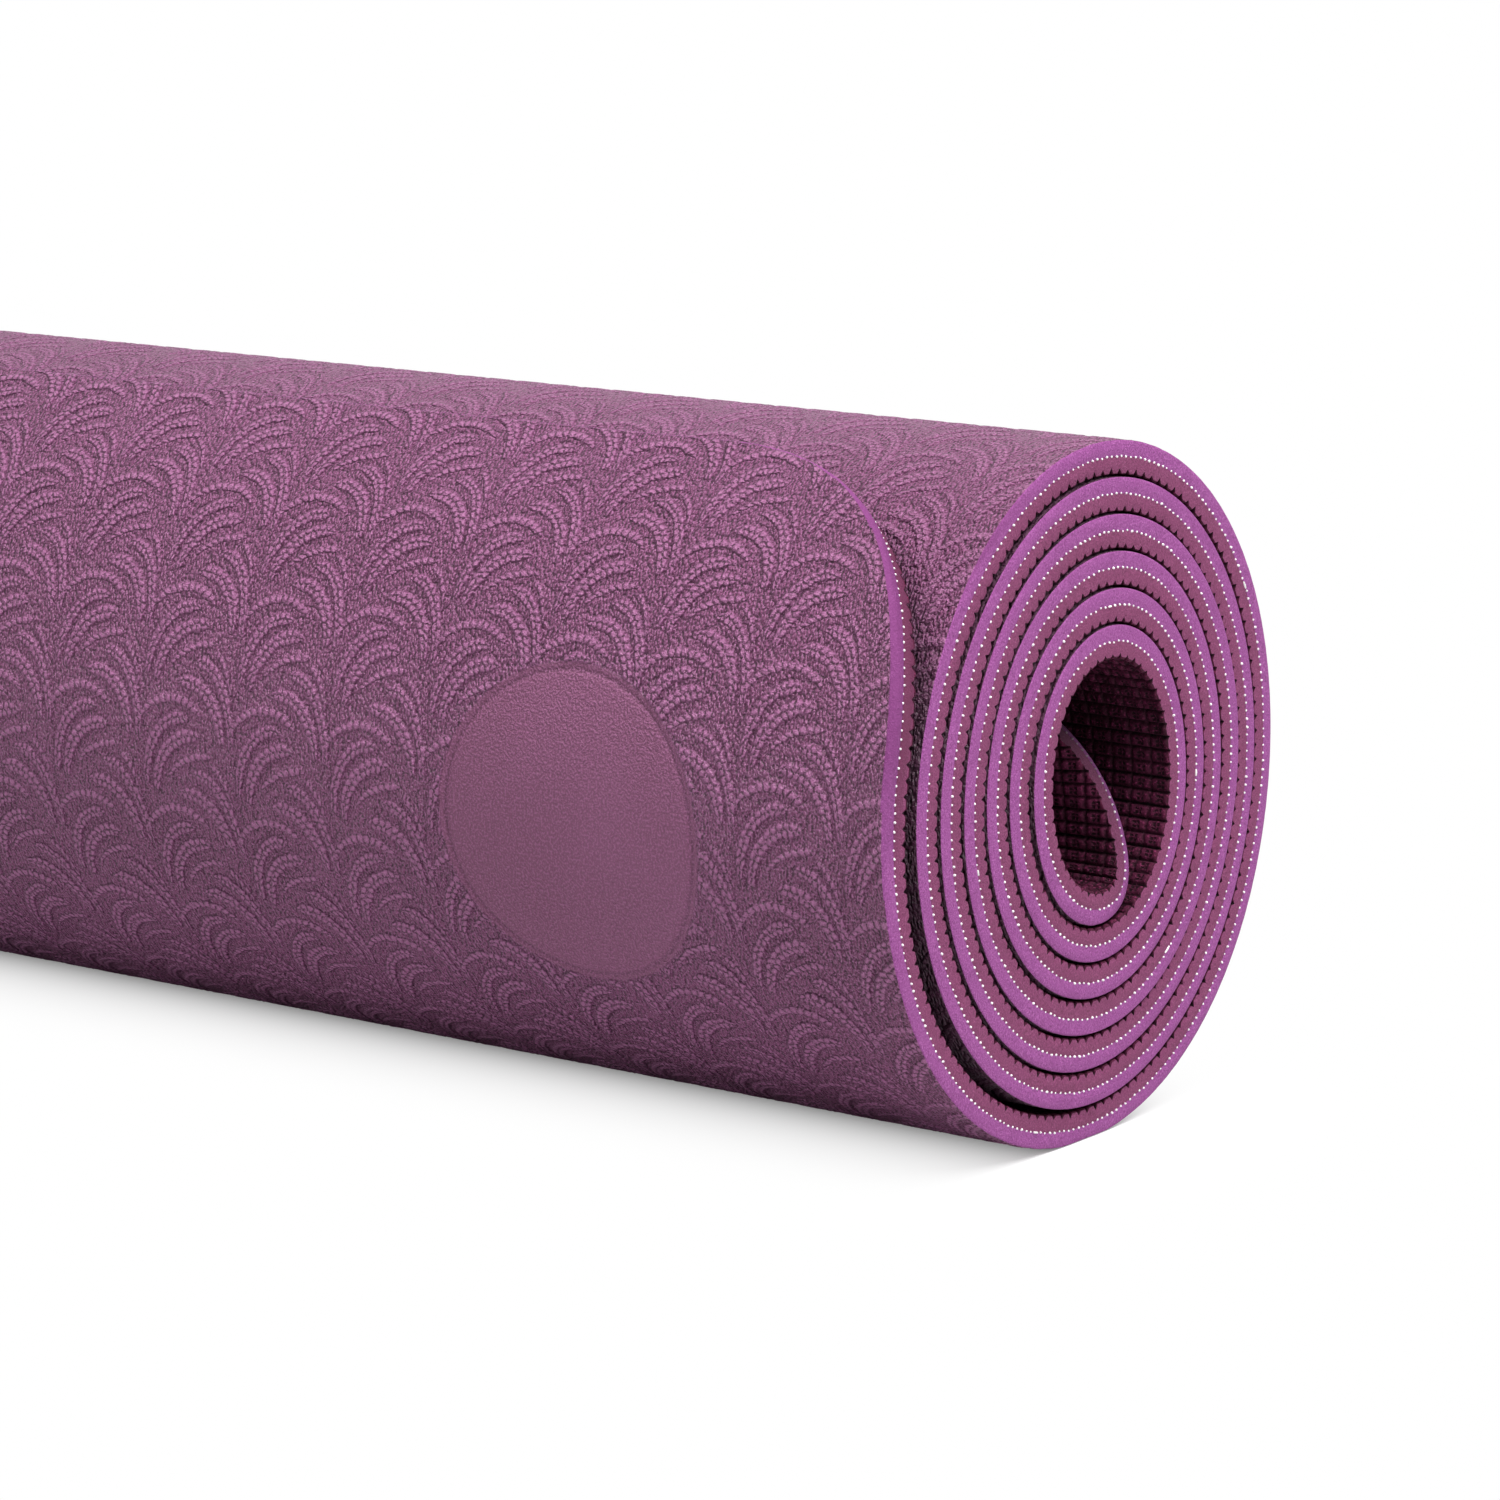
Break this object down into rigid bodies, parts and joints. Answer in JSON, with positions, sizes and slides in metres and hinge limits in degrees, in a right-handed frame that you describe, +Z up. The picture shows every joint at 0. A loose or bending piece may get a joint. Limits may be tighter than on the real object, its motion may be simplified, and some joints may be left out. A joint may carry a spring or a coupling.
{
  "type": "rolled yoga mat",
  "caption": "Cushioned exercise mat with rounded corners, rolled into a tight spiral with a loose outer end and a hollow core.",
  "frame": {"origin": "centre of the bounding box's base, on the surface that the roll lies on", "axes": "+X along the roll, -Y to the side where the loose outer end hangs, +Z up"},
  "size_m": [0.61, 0.1296, 0.1301],
  "materials": {
    "outer_foam": "matt closed-cell foam with an embossed fan pattern",
    "net": "white polyester net",
    "inner_foam": "matt closed-cell foam with a deep block pattern"
  },
  "bodies": {
    "root": {"outer_foam": "outer_foam", "reinforcing_net": "net", "inner_foam": "inner_foam"}
  },
  "joints": []
}
